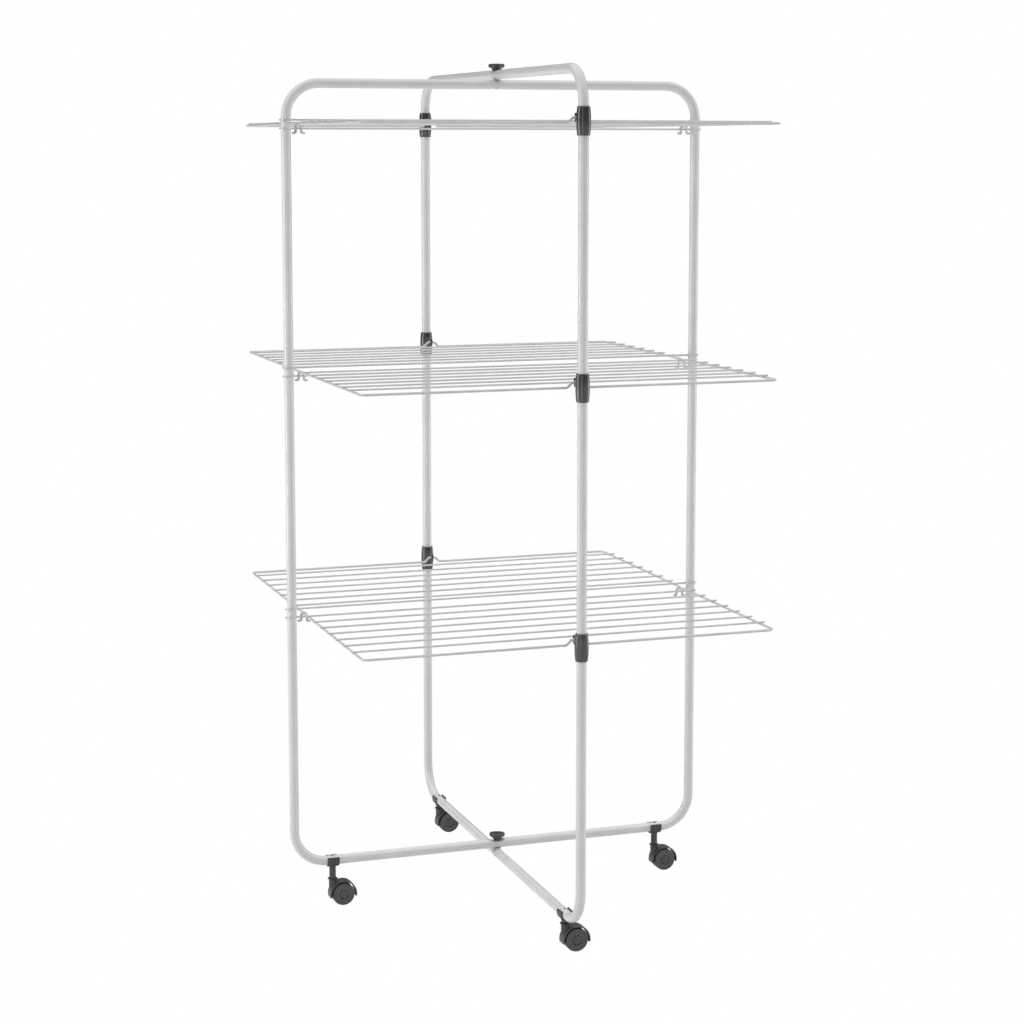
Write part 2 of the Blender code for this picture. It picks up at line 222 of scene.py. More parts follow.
def node_material(name, roughness, metallic=0.0, coat=0.0):
    """A new material; returns it with its node tree, its shader and its object coordinates."""
    material = bpy.data.materials.new(name)
    material.use_nodes = True
    tree = material.node_tree
    shader = tree.nodes["Principled BSDF"]
    shader.inputs["Roughness"].default_value = roughness
    shader.inputs["Metallic"].default_value = metallic
    shader.inputs["Coat Weight"].default_value = coat
    shader.inputs["Coat Roughness"].default_value = 0.12
    place = tree.nodes.new("ShaderNodeTexCoord").outputs["Object"]
    return material, tree, shader, place


def noise(tree, place, scale, detail=2.0, stretch=(1, 1, 1)):
    """Noise in object space, with scale in cells per metre."""
    mapping = tree.nodes.new("ShaderNodeMapping")
    mapping.inputs["Scale"].default_value = stretch
    texture = tree.nodes.new("ShaderNodeTexNoise")
    texture.inputs["Scale"].default_value = scale
    texture.inputs["Detail"].default_value = detail
    tree.links.new(place, mapping.inputs["Vector"])
    tree.links.new(mapping.outputs["Vector"], texture.inputs["Vector"])
    return texture.outputs["Fac"]


def ramp(tree, value, low, high):
    """Map noise to a colour between low and high."""
    node = tree.nodes.new("ShaderNodeValToRGB")
    node.color_ramp.elements[0].position = 0.32
    node.color_ramp.elements[1].position = 0.68
    node.color_ramp.elements[0].color = (*low, 1)
    node.color_ramp.elements[1].color = (*high, 1)
    tree.links.new(value, node.inputs["Fac"])
    return node.outputs["Color"]


def spread(tree, value, low, high):
    """Map noise to a number between low and high."""
    node = tree.nodes.new("ShaderNodeMapRange")
    node.inputs["From Min"].default_value = 0.3
    node.inputs["From Max"].default_value = 0.7
    node.inputs["To Min"].default_value = low
    node.inputs["To Max"].default_value = high
    tree.links.new(value, node.inputs["Value"])
    return node.outputs["Result"]


def bump(tree, shader, value, height, strength=1.0):
    """Raise the surface by noise, with height in metres."""
    node = tree.nodes.new("ShaderNodeBump")
    node.inputs["Strength"].default_value = strength
    node.inputs["Distance"].default_value = height
    tree.links.new(value, node.inputs["Height"])
    tree.links.new(node.outputs["Normal"], shader.inputs["Normal"])


def powder_coat(name, low, high, roughness):
    """Sprayed and baked powder: an orange peel of one or two millimetres, with faint uneven tone."""
    material, tree, shader, place = node_material(name, roughness, coat=0.5)
    tone = noise(tree, place, 14, 3)
    tree.links.new(ramp(tree, tone, low, high), shader.inputs["Base Color"])
    sheen = noise(tree, place, 420, 2)
    tree.links.new(spread(tree, sheen, roughness - 0.03, roughness + 0.04), shader.inputs["Roughness"])
    bump(tree, shader, noise(tree, place, 620, 1), 0.00003, 0.2)
    return material


def moulded_plastic(name, low, high, roughness, grain, specular=0.5):
    """Injection moulded plastic with a fine spark eroded grain."""
    material, tree, shader, place = node_material(name, roughness)
    shader.inputs["Specular IOR Level"].default_value = specular
    tree.links.new(ramp(tree, noise(tree, place, 90, 3), low, high), shader.inputs["Base Color"])
    tone = noise(tree, place, 260, 2)
    tree.links.new(spread(tree, tone, roughness - 0.04, roughness + 0.05), shader.inputs["Roughness"])
    bump(tree, shader, noise(tree, place, grain, 4), 0.00001, 0.6)
    return material


def turned_metal(name, low, high, roughness, stretch):
    """Plated steel with fine drawn lines."""
    material, tree, shader, place = node_material(name, roughness, metallic=1.0)
    lines = noise(tree, place, 500, 3, stretch)
    tree.links.new(ramp(tree, lines, low, high), shader.inputs["Base Color"])
    tree.links.new(spread(tree, lines, roughness - 0.08, roughness + 0.12), shader.inputs["Roughness"])
    bump(tree, shader, lines, 0.00003, 0.4)
    return material


TUBE_COAT = powder_coat("tube_powder_coat", (0.65, 0.655, 0.665), (0.70, 0.705, 0.715), 0.30)
WIRE_COAT = powder_coat("wire_powder_coat", (0.56, 0.565, 0.575), (0.63, 0.635, 0.645), 0.33)
GLOSSY_PLASTIC = moulded_plastic(
    "glossy_plastic", (0.042, 0.044, 0.046), (0.054, 0.056, 0.059), 0.18, 1700, specular=0.70
)
DARK_PLASTIC = moulded_plastic("dark_plastic", (0.043, 0.045, 0.047), (0.055, 0.057, 0.060), 0.36, 1700)
WHEEL_PLASTIC = moulded_plastic("wheel_plastic", (0.074, 0.076, 0.079), (0.090, 0.092, 0.096), 0.40, 1200)
SPACER_PLASTIC = moulded_plastic("spacer_plastic", (0.52, 0.52, 0.51), (0.58, 0.58, 0.57), 0.5, 2000)
ZINC = turned_metal("zinc_plate", (0.48, 0.49, 0.50), (0.66, 0.67, 0.68), 0.34, (1, 1, 0.06))
PIN_STEEL = turned_metal("blackened_steel", (0.035, 0.035, 0.037), (0.07, 0.07, 0.073), 0.4, (1, 1, 0.06))


# ---------------------------------------------------------------- mesh tools


def make(name, bm, material, body, nodes, place=Matrix()):
    """Turn a bmesh into a piece that rides on a body and stands for CAD nodes."""
    bmesh.ops.recalc_face_normals(bm, faces=bm.faces)
    mesh = bpy.data.meshes.new(name)
    bm.to_mesh(mesh)
    bm.free()
    return make_from_mesh(name, mesh, material, body, nodes, place)


def make_from_mesh(name, mesh, material, body, nodes, place=Matrix()):
    """As make, from a mesh that pieces may share."""
    mesh.shade_smooth()
    mesh.set_sharp_from_angle(angle=SHARP_ANGLE)
    if not mesh.materials:
        mesh.materials.append(material)
    piece = bpy.data.objects.new(name, mesh)
    bpy.context.scene.collection.objects.link(piece)
    piece.matrix_world = place
    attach(piece, body)
    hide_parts(*nodes)
    return piece


def arc(centre, radius, start, stop, steps):
    """Points (x, y) along an arc, in radians, both ends included."""
    angles = [start + (stop - start) * k / steps for k in range(steps + 1)]
    return [(centre[0] + radius * math.cos(a), centre[1] + radius * math.sin(a)) for a in angles]


def lathe(profile, segments, matrix=Matrix(), closed=False, swell=None):
    """Turn a profile of (radius, height) about Z; swell(angle, step) scales a ring's radius if given."""
    bm = bmesh.new()
    rings = []
    for step, (radius, height) in enumerate(profile):
        if radius < 1e-9:
            rings.append([bm.verts.new(matrix @ Vector((0, 0, height)))])
            continue
        ring = []
        for k in range(segments):
            angle = 2 * math.pi * k / segments
            reach = radius * (swell(angle, step) if swell else 1)
            point = Vector((reach * math.cos(angle), reach * math.sin(angle), height))
            ring.append(bm.verts.new(matrix @ point))
        rings.append(ring)
    pairs = list(zip(rings, rings[1:] + rings[:1])) if closed else list(zip(rings, rings[1:]))
    for low, high in pairs:
        for k in range(segments):
            n = (k + 1) % segments
            corners = [low[k % len(low)], low[n % len(low)], high[n % len(high)], high[k % len(high)]]
            face = list(dict.fromkeys(corners))
            if len(face) > 2:
                bm.faces.new(face)
    return bm


def sweep(path, radius, sides, closed=False, bm=None):
    """Carry a circle along a path, with rounded ends if the path is open.

    The circle turns about the path as little as it can. Each station is a point, a direction and a radius.
    """
    bm = bm or bmesh.new()
    count = len(path)
    stations = []
    for k, point in enumerate(path):
        before = path[k - 1] if closed or k else point
        after = path[(k + 1) % count] if closed or k < count - 1 else point
        stations.append((point, (after - before).normalized(), radius))
    if not closed:
        first, last = stations[0], stations[-1]
        easing = [(0.35, 0.0), (0.72, 0.12), (0.93, 0.36)]
        stations[0] = (first[0] + 0.7 * radius * first[1], first[1], radius)
        stations[-1] = (last[0] - 0.7 * radius * last[1], last[1], radius)
        head = [(first[0] + reach * radius * first[1], first[1], share * radius) for share, reach in easing]
        tail = [(last[0] - reach * radius * last[1], last[1], share * radius) for share, reach in easing]
        stations = head + stations + tail[::-1]
    rings = []
    side = None
    for point, ahead, reach in stations:
        side = side or ahead.orthogonal().normalized()
        side = (side - side.dot(ahead) * ahead).normalized()
        other = ahead.cross(side)
        angles = [2 * math.pi * n / sides for n in range(sides)]
        offsets = [reach * (math.cos(a) * side + math.sin(a) * other) for a in angles]
        rings.append([bm.verts.new(point + offset) for offset in offsets])
    pairs = list(zip(rings, rings[1:]))
    if closed:
        pairs.append((rings[-1], rings[0]))
    else:
        bm.faces.new(reversed(rings[0]))
        bm.faces.new(rings[-1])
    for low, high in pairs:
        for n in range(sides):
            m = (n + 1) % sides
            bm.faces.new((low[n], low[m], high[m], high[n]))
    return bm


def rounded(corners, radius, steps, closed=False):
    """A path through corners, each turned into an arc of the given radius."""
    path = []
    count = len(corners)
    for k, corner in enumerate(corners):
        if not closed and k in (0, count - 1):
            path.append(corner)
            continue
        back = (corners[k - 1] - corner).normalized()
        ahead = (corners[(k + 1) % count] - corner).normalized()
        half = back.angle(ahead) / 2
        middle = (back + ahead).normalized()
        centre = corner + middle * radius / math.sin(half)
        start = corner + back * radius / math.tan(half) - centre
        stop = corner + ahead * radius / math.tan(half) - centre
        turn = start.angle(stop)
        axis = start.cross(stop).normalized()
        path += [centre + Matrix.Rotation(turn * n / steps, 3, axis) @ start for n in range(steps + 1)]
    return path


def prism(outline, low, high, matrix=Matrix()):
    """Extrude an outline of (x, y) points from low to high along the matrix's Z."""
    bm = bmesh.new()
    bottom = [bm.verts.new(matrix @ Vector((x, y, low))) for x, y in outline]
    top = [bm.verts.new(matrix @ Vector((x, y, high))) for x, y in outline]
    bm.faces.new(bottom)
    bm.faces.new(top)
    for k in range(len(outline)):
        n = (k + 1) % len(outline)
        bm.faces.new((bottom[k], bottom[n], top[n], top[k]))
    bmesh.ops.recalc_face_normals(bm, faces=bm.faces)
    return bm


def joined(parts):
    """One bmesh of several closed ones."""
    whole = bmesh.new()
    for part in parts:
        bmesh.ops.recalc_face_normals(part, faces=part.faces)
        mesh = bpy.data.meshes.new("part")
        part.to_mesh(mesh)
        part.free()
        whole.from_mesh(mesh)
        bpy.data.meshes.remove(mesh)
    return whole


def moulded(name, parts, voxel, ease, keep):
    """A mesh of overlapping closed parts melted into one skin with small fillets, as a moulding has.

    voxel is the skin's grid in metres, ease the rounds of smoothing, and keep the share of faces kept.
    """
    mesh = bpy.data.meshes.new(name)
    whole = joined(parts)
    whole.to_mesh(mesh)
    whole.free()
    carrier = bpy.data.objects.new(name, mesh)
    bpy.context.scene.collection.objects.link(carrier)
    skin = carrier.modifiers.new("skin", "REMESH")
    skin.mode = "VOXEL"
    skin.voxel_size = voxel
    skin.adaptivity = 0
    fillet = carrier.modifiers.new("fillet", "SMOOTH")
    fillet.factor = 0.5
    fillet.iterations = ease
    thin = carrier.modifiers.new("thin", "DECIMATE")
    thin.ratio = keep
    graph = bpy.context.evaluated_depsgraph_get()
    result = bpy.data.meshes.new_from_object(carrier.evaluated_get(graph), depsgraph=graph)
    bpy.data.objects.remove(carrier)
    bpy.data.meshes.remove(mesh)
    result.name = name
    result.materials.clear()
    return result


ALONG_Y = Matrix.Rotation(-math.pi / 2, 4, "X")
UPRIGHT = Matrix(((0, 0, 1, 0), (1, 0, 0, 0), (0, 1, 0, 0), (0, 0, 0, 1)))
HALF_TURN = Matrix.Rotation(math.pi, 4, "Z")
QUARTER_TURN = Matrix.Rotation(math.pi / 2, 4, "Z")


def at(x, y, z, turn=Matrix()):
    """A matrix that turns and then moves."""
    return Matrix.Translation((x, y, z)) @ turn


# ---------------------------------------------------------------- frames


def refine(path, spots, reach, step):
    """Add points to a closed path's straight runs near the given spots."""
    fine = []
    for here, there in zip(path, path[1:] + path[:1]):
        fine.append(here)
        count = max(1, int((there - here).length / step))
        between = [here.lerp(there, k / count) for k in range(1, count)]
        fine += [p for p in between if any((p - spot).length < reach for spot in spots)]
    return fine


def ease_out(distance, flat, blend):
    """1 within flat, 0 past flat + blend, and smooth between them."""
    t = min(1.0, max(0.0, (distance - flat) / blend))
    return 1 - t * t * (3 - 2 * t)


def press(bm, centre, facing, along, depth, flat, blend):
    """Press a flat into a tube: nothing near the centre stands further out than the tube's radius less depth.

    The flat's two long edges are rounded, and the wall beside them swells out a little.
    """
    beside = facing.cross(along)
    for vert in bm.verts:
        offset = vert.co - centre
        distance = abs(offset.dot(along))
        if distance > flat + blend or offset.length > TUBE_R + flat + blend:
            continue
        sunk = depth * ease_out(distance, flat, blend)
        limit = TUBE_R - sunk
        out = offset.dot(facing)
        rounding = max(PRESS_EASE * sunk, 1e-6)
        overlap = max(0.0, 1 - abs(out - limit) / rounding)
        pressed = min(out, limit) - overlap * overlap * rounding / 4
        vert.co += (pressed - out) * facing
        if out > 0:
            swell = PRESS_SWELL * sunk * math.sin(math.pi * min(out, limit) / limit)
            vert.co += math.copysign(swell, offset.dot(beside)) * beside


def frame_loop(name, half, bottom, top, along, seats, crimp_levels):
    """One bent tube loop, with flats where the loops cross and crimps where cross rods pass the uprights.

    Each seat is its centre, the way it faces, and its depth, half length and run-out.
    """
    corners = [half * along * sx + UP * z for sx, z in ((1, top), (-1, top), (-1, bottom), (1, bottom))]
    crimps = [side * half * along + UP * z for side in (-1, 1) for z in crimp_levels]
    spots = [seat[0] for seat in seats] + crimps
    path = refine(rounded(corners, BEND_R, BEND_STEPS, closed=True), spots, FINE_REACH, FINE_STEP)
    bm = sweep(path, TUBE_R, TUBE_SIDES, closed=True)
    for centre, facing, shape in seats:
        press(bm, centre, facing, along, *shape)
    across = UP.cross(along)
    for centre in crimps:
        for way in (-1, 1):
            press(bm, centre, way * across, UP, CRIMP_DEPTH, CRIMP_REACH, CRIMP_BLEND)
    return make(name + "_tube", bm, TUBE_COAT, name + "_body", [name])


def frames():
    """Both loops: light flats where they face each other, deep seats under the knobs, shallow ones at the
    bolt heads."""
    levels = [z for label in SHELF_NAMES for z in shelf_places(label)[:2]]
    flat = (FLAT_DEPTH, FLAT_REACH, FLAT_BLEND)
    knob_seat = (SEAT_DEPTH, SEAT_REACH, SEAT_BLEND)
    bolt_seat = (BOLT_SEAT_DEPTH, SEAT_REACH, SEAT_BLEND)
    inner_seats = [(UP * INNER_BOTTOM, -UP, flat), (UP * INNER_TOP, UP, flat)]
    inner_seats += [(UP * INNER_BOTTOM, UP, knob_seat), (UP * INNER_TOP, -UP, bolt_seat)]
    outer_seats = [(UP * OUTER_BOTTOM, UP, flat), (UP * OUTER_TOP, -UP, flat)]
    outer_seats += [(UP * OUTER_BOTTOM, -UP, bolt_seat), (UP * OUTER_TOP, UP, knob_seat)]
    x_axis, y_axis = Vector((1, 0, 0)), Vector((0, 1, 0))
    frame_loop("inner_frame", INNER_HALF, INNER_BOTTOM, INNER_TOP, x_axis, inner_seats, levels)
    frame_loop("outer_frame", OUTER_HALF, OUTER_BOTTOM, OUTER_TOP, y_axis, outer_seats, [])


# ---------------------------------------------------------------- pivots


def knob_mesh():
    """A three lobed knob: boss, step, thick brim, and a three cornered recess on top."""
    boss = [(0, 0), (0.0046, 0), (0.0052, 0.0005), (0.0062, 0.0015), (0.0074, 0.0027), (0.0081, 0.0040)]
    brim = [(0.0086, 0.0053), (0.0104, 0.0062), (0.0121, 0.0068), (0.0130, 0.0076), (KNOB_R, 0.0087)]
    crown = [(KNOB_R, 0.0100), (0.0131, 0.0112), (0.0126, 0.0121), (0.0118, 0.0127), (0.0106, 0.0130)]
    recess = [(0.0092, 0.0130), (0.0084, 0.0128), (0.0078, 0.0122), (0.0074, 0.0112), (0.0069, 0.0103)]
    recess += [(0.0060, 0.0098), (0.0045, 0.0096), (0.0025, 0.0095), (0, 0.0095)]
    profile = boss + brim + crown + recess
    swells = [0, 0, 0, 0.05, 0.2, 0.5, 0.8] + [1] * 8
    swells += [1.2, 1.5, 1.7, 1.9, 2.0, 1.9, 1.5, 0.9, 0.3, 0]

    def swell(angle, step):
        return 1 + KNOB_SWELL * swells[step] * math.cos(KNOB_LOBES * angle)

    bm = lathe(profile, 96, swell=swell)
    bmesh.ops.recalc_face_normals(bm, faces=bm.faces)
    mesh = bpy.data.meshes.new("knob")
    bm.to_mesh(mesh)
    bm.free()
    return mesh


def bolt(place, body):
    """A pan head bolt with a washer under its head, up through both tubes."""
    low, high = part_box(place + "_bolt")
    tall = high.z - low.z
    head = [(0, 0.0002), (0.0030, 0), (0.0048, 0.0003), (0.0057, 0.0010), (0.0059, 0.0015)]
    washer = [(0.0064, 0.0016), (0.0065, 0.0020), (0.0064, 0.0024)]
    shank = [(0.0030, 0.0024), (0.0030, tall - 0.0006), (0.0024, tall), (0, tall)]
    bm = lathe(head + washer + shank, 48, at(0, 0, low.z))
    make(place + "_bolt_turned", bm, ZINC, body, [place + "_bolt"])


def spacer(place):
    """The plastic disc between two tubes, with eased rims."""
    low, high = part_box(place + "_spacer")
    reach = high.x
    rim = reach - SPACER_EASE
    profile = [(SPACER_BORE_R, low.z), (rim, low.z), (reach, low.z + SPACER_EASE)]
    profile += [(reach, high.z - SPACER_EASE), (rim, high.z), (SPACER_BORE_R, high.z)]
    bm = lathe(profile, 64, closed=True)
    node = place + "_spacer"
    make(node + "_disc", bm, SPACER_PLASTIC, "inner_frame_body", [node])


def pivots():
    """Bolt, spacer and knob at the bottom and top crossings. One lobe of each knob faces the front left."""
    mesh = knob_mesh()
    lobe = Matrix.Rotation(KNOB_TURN, 4, "Z")
    for place, body in (("top", "inner_frame_body"), ("bottom", "outer_frame_body")):
        bolt(place, body)
        spacer(place)
        node = place + "_knob"
        seat = at(0, 0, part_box(node)[0].z, lobe)
        make_from_mesh(node + "_lobed", mesh, DARK_PLASTIC, node + "_body", [node], seat)


# ---------------------------------------------------------------- shelves


def cross_rod(label, kind):
    """A straight wire through both uprights, with rounded ends that stand proud of them."""
    node = f"{label}_{kind}"
    low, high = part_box(node)
    ends = [Vector((x, 0, (low.z + high.z) / 2)) for x in (low.x, high.x)]
    bm = sweep(ends, CROSS_R, WIRE_SIDES)
    make(node + "_wire", bm, WIRE_COAT, "inner_frame_body", [node])


def rail_path(side, hinge, level):
    """The bent rail of a half shelf: eye at the hinge rod, side run, corner, end run and bump, and back."""
    def eye(centre_x):
        """The wire's end: a foot along X, up past the hinge rod, over it, and off towards the shelf."""
        x = centre_x - math.copysign(EYE_INSET, centre_x) + side * EYE_SHIFT
        foot = [(x + side * EYE_FOOT, EYE_STEM_Y), (x, EYE_STEM_Y)]
        path = [Vector((foot_x, -side * y, hinge - EYE_R - EYE_DROP)) for foot_x, y in foot]
        hoop = arc((0, 0), EYE_R, math.radians(-20), math.radians(90), 16)
        hoop = [Vector((x, -side * y, hinge + z)) for y, z in hoop]
        return rounded([path[0], path[1], hoop[0]], EYE_BEND_R, 8)[:-1] + hoop

    start = Vector((SHELF_HALF_X, side * SIDE_RUN_START, level))
    corner = Vector((SHELF_HALF_X, side * SHELF_HALF_Y, level))
    foot = BUMP_HALF + BUMP_RISE
    bump_foot = Vector((foot, side * SHELF_HALF_Y, level))
    bump_top = Vector((BUMP_HALF, side * SHELF_HALF_Y, level + BUMP_RISE))
    middle = Vector((0, side * SHELF_HALF_Y, level + BUMP_RISE))
    half = [start]
    half += rounded([start, corner, bump_foot], RAIL_CORNER_R, 12)[1:-1]
    half += rounded([corner, bump_foot, bump_top], BUMP_FOOT_R, 6)[1:-1]
    half += rounded([bump_foot, bump_top, middle], BUMP_TOP_R, 6)[1:-1]
    half += [Vector((-p.x, p.y, p.z)) for p in reversed(half)]
    return eye(SHELF_HALF_X) + half + eye(-SHELF_HALF_X)[::-1]


def half_shelf(label, side_label, side):
    """A half shelf: the bent rail, and seven rods with their weld nuggets."""
    hinge, _, level = shelf_places(label)
    node = f"{label}_{side_label}_shelf"
    body = node + "_body"
    rail = sweep(rail_path(side, hinge, level), RAIL_R, WIRE_SIDES)
    make(node + "_rail", rail, WIRE_COAT, body, [node])
    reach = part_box(node)[1].x
    rods = bmesh.new()
    nuggets = []
    nugget = [(0, -WELD_R), (WELD_LOW_R, -WELD_LOW_Z), (WELD_R, 0), (WELD_LOW_R, WELD_LOW_Z), (0, WELD_R)]
    for k in range(1, RODS_PER_HALF + 1):
        y, z = side * k * ROD_PITCH, level + ROD_LIFT
        runs = [Vector((-reach, y, z)), Vector((reach, y, z))]
        sweep(runs, ROD_R, WIRE_SIDES, bm=rods)
        for way in (-1, 1):
            nuggets.append(lathe(nugget, 12, at(way * SHELF_HALF_X, y, level + RAIL_R - 0.0002)))
    make(node + "_rods", joined([rods] + nuggets), WIRE_COAT, body, [node])


def collar_mesh():
    """A barrel collar with eased mouths and a hook on its +Y side, about the tube at the rail's level."""
    low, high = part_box("lower_front_collar")
    level = shelf_places("lower")[2]
    bottom, top = low.z - level, high.z - level
    height = top - bottom
    inner = TUBE_R + BORE_GAP
    profile = [(inner, bottom + 0.0016), (inner + 0.0007, bottom), (COLLAR_END_R - 0.0007, bottom)]
    profile += [(COLLAR_END_R - 0.0001, bottom + 0.0006), (COLLAR_END_R, bottom + COLLAR_LIP)]
    for k in range(1, COLLAR_STEPS):
        t = k / COLLAR_STEPS
        bulge = (COLLAR_MID_R - COLLAR_END_R) * math.sin(math.pi * t) ** 0.7
        profile.append((COLLAR_END_R + bulge, bottom + COLLAR_LIP + t * (height - 2 * COLLAR_LIP)))
    profile += [(COLLAR_END_R, top - COLLAR_LIP), (COLLAR_END_R - 0.0001, top - 0.0006)]
    profile += [(COLLAR_END_R - 0.0007, top), (inner + 0.0007, top), (inner, top - 0.0016)]
    rail = OUTER_HALF - SHELF_HALF_Y
    slot = RAIL_R + HOOK_GAP
    seat = BUMP_RISE - slot
    outline = [
        (HOOK_ROOT, HOOK_LOW),
        (rail + slot + HOOK_LIP - 0.0018, HOOK_LOW),
        (rail + slot + HOOK_LIP, HOOK_LOW + 0.0030),
        (rail + slot + HOOK_LIP, HOOK_HIGH - 0.0022),
        (rail + slot + HOOK_LIP - 0.0012, HOOK_HIGH),
        (rail + slot + 0.0004, HOOK_HIGH - 0.0004),
        (rail + slot, HOOK_HIGH - 0.0018),
        *arc((rail, seat + slot), slot, 0, -math.pi, 10),
        (rail - slot, HOOK_HIGH - 0.0040),
        (rail - slot - 0.0040, HOOK_HIGH),
        (HOOK_ROOT, HOOK_HIGH),
    ]
    hook = prism(outline, -HOOK_HALF_W, HOOK_HALF_W, UPRIGHT)
    return moulded("collar", [lathe(profile, 96, closed=True), hook], voxel=0.00036, ease=3, keep=0.35)


def shelves():
    """Three levels of two cross rods, two half shelves and two collars."""
    mesh = collar_mesh()
    for label in SHELF_NAMES:
        level = shelf_places(label)[2]
        cross_rod(label, "middle_rod")
        cross_rod(label, "hinge_rod")
        for side_label, side in SIDES:
            half_shelf(label, side_label, side)
            node = f"{label}_{side_label}_collar"
            place = at(0, side * OUTER_HALF, level, Matrix() if side < 0 else HALF_TURN)
            piece = node + "_barrel"
            make_from_mesh(piece, mesh, GLOSSY_PLASTIC, "outer_frame_body", [node], place)


# ---------------------------------------------------------------- castors


def holder_mesh(tube_z, neck_top):
    """Snap jaws round a tube that runs along X, and a round stem down to the swivel."""
    inner = TUBE_R + BORE_GAP
    under = arc((0, 0), JAW_R, -math.pi - 0.1, 0.1, 30)
    lip_left = arc((0, 0), JAW_LIP_R, -math.pi - JAW_ANGLE, -math.pi - 0.35, 5)
    lip_right = arc((0, 0), JAW_LIP_R, 0.35, JAW_ANGLE, 5)
    inside = arc((0, 0), inner, JAW_ANGLE, -math.pi - JAW_ANGLE, 48)
    outline = lip_left + under + lip_right + inside
    jaws = prism(outline, -JAW_LENGTH / 2, JAW_LENGTH / 2, at(0, 0, tube_z) @ UPRIGHT)
    low, high = neck_top + 0.0003, tube_z - TUBE_R - 0.0012
    stem = [(0, low), (STEM_R, low), (STEM_R - 0.0002, low + 0.0010), (STEM_R - 0.0002, high - 0.0030)]
    stem += [(STEM_R + 0.0010, high - 0.0006), (STEM_R + 0.0010, high), (0, high)]
    return moulded("castor_holder", [jaws, lathe(stem, 64)], voxel=0.00038, ease=3, keep=0.35)


def hood_mesh(trail, wheel_r, neck_top):
    """Neck with its flange, fender over both wheels, and the web that carries the axle between them."""
    hub = at(trail, 0, wheel_r, Matrix.Rotation(math.pi / 2, 4, "X"))
    tip = FENDER_TIP
    outer = arc((0, 0), FENDER_OUT_R, math.pi + tip, -tip, 64)
    inner = arc((0, 0), FENDER_IN_R, -tip, math.pi + tip, 64)
    shoulder = arc((0, 0), FENDER_OUT_R - 0.0010, math.pi + tip, -tip, 64)
    middle = prism(outer + inner, -FENDER_HALF_W + 0.0014, FENDER_HALF_W - 0.0014, hub)
    wide = prism(shoulder + inner, -FENDER_HALF_W, FENDER_HALF_W, hub)
    plate = arc((0, 0), FENDER_IN_R + 0.0008, math.radians(196), math.radians(78), 24)
    plate += arc((0, 0), HUB_R, math.radians(60), math.radians(-140), 16)
    web = prism(plate, -WEB_HALF_W, WEB_HALF_W, hub)
    low = wheel_r + HOOD_LOW
    neck = [(0, low), (NECK_R, low), (NECK_R, neck_top - 0.0034), (FLANGE_R - 0.0006, neck_top - 0.0016)]
    neck += [(FLANGE_R, neck_top - 0.0012), (FLANGE_R, neck_top - 0.0003), (FLANGE_R - 0.0004, neck_top)]
    neck += [(0, neck_top)]
    return moulded("castor_hood", [middle, wide, web, lathe(neck, 64)], voxel=0.00038, ease=4, keep=0.3)


def wheel_mesh(wheel_r):
    """One wheel, with its outer face towards -Y: rounded tread, rim step, dished face, hub cap."""
    tread = [(0, WHEEL_IN), (wheel_r - 0.0009, WHEEL_IN), (wheel_r - 0.0002, WHEEL_IN + 0.0004)]
    tread += [(wheel_r, WHEEL_IN + 0.0010), (wheel_r, WHEEL_OUT - 0.0030)]
    tread += [(wheel_r - 0.0003, WHEEL_OUT - 0.0018)]
    rim = [(wheel_r - 0.0010, WHEEL_OUT - 0.0009), (wheel_r - 0.0020, WHEEL_OUT - 0.0005)]
    rim += [(0.0154, WHEEL_OUT - 0.0004), (0.0151, WHEEL_OUT - 0.0009), (0.0146, WHEEL_OUT - 0.0010)]
    dish = [(0.0120, WHEEL_OUT - 0.0010), (0.0084, WHEEL_OUT - 0.0008), (0.0079, WHEEL_OUT - 0.0012)]
    groove = [(0.0077, WHEEL_OUT - 0.0020), (0.0071, WHEEL_OUT - 0.0020), (0.0069, WHEEL_OUT - 0.0008)]
    cap = [(0.0065, WHEEL_OUT - 0.0002), (0.0058, WHEEL_OUT), (0.0030, WHEEL_OUT)]
    cap += [(0.0027, WHEEL_OUT - 0.0004), (0.0022, WHEEL_OUT - 0.0004)]
    cap += [(0.0020, WHEEL_OUT - 0.0001), (0, WHEEL_OUT)]
    bm = lathe(tread + rim + dish + groove + cap, 96, Matrix.Rotation(math.pi / 2, 4, "X"))
    bmesh.ops.recalc_face_normals(bm, faces=bm.faces)
    mesh = bpy.data.meshes.new("castor_wheel")
    bm.to_mesh(mesh)
    bm.free()
    return mesh


def castor_pin(node, body):
    """The dark pin whose rounded tip shows on the tube's crown."""
    low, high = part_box(node)
    x, y = (low.x + high.x) / 2, (low.y + high.y) / 2
    tall = high.z - low.z
    profile = [(0, 0), (PIN_R, 0), (PIN_R, tall - 0.0010), (PIN_R - 0.0003, tall - 0.0004)]
    profile += [(PIN_R - 0.0009, tall), (0, tall)]
    make(node + "_turned", lathe(profile, 32, at(x, y, low.z)), PIN_STEEL, body, [node])


def castor_axle(node, body):
    """The short steel axle inside both wheels."""
    low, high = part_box(node)
    middle = (low + high) / 2
    reach = (high.y - low.y) / 2
    profile = [(0, -reach), (0.0015, -reach), (0.0020, -reach + 0.0005), (0.0020, reach - 0.0005)]
    profile += [(0.0015, reach), (0, reach)]
    make(node + "_turned", lathe(profile, 32, at(*middle, ALONG_Y)), ZINC, body, [node])


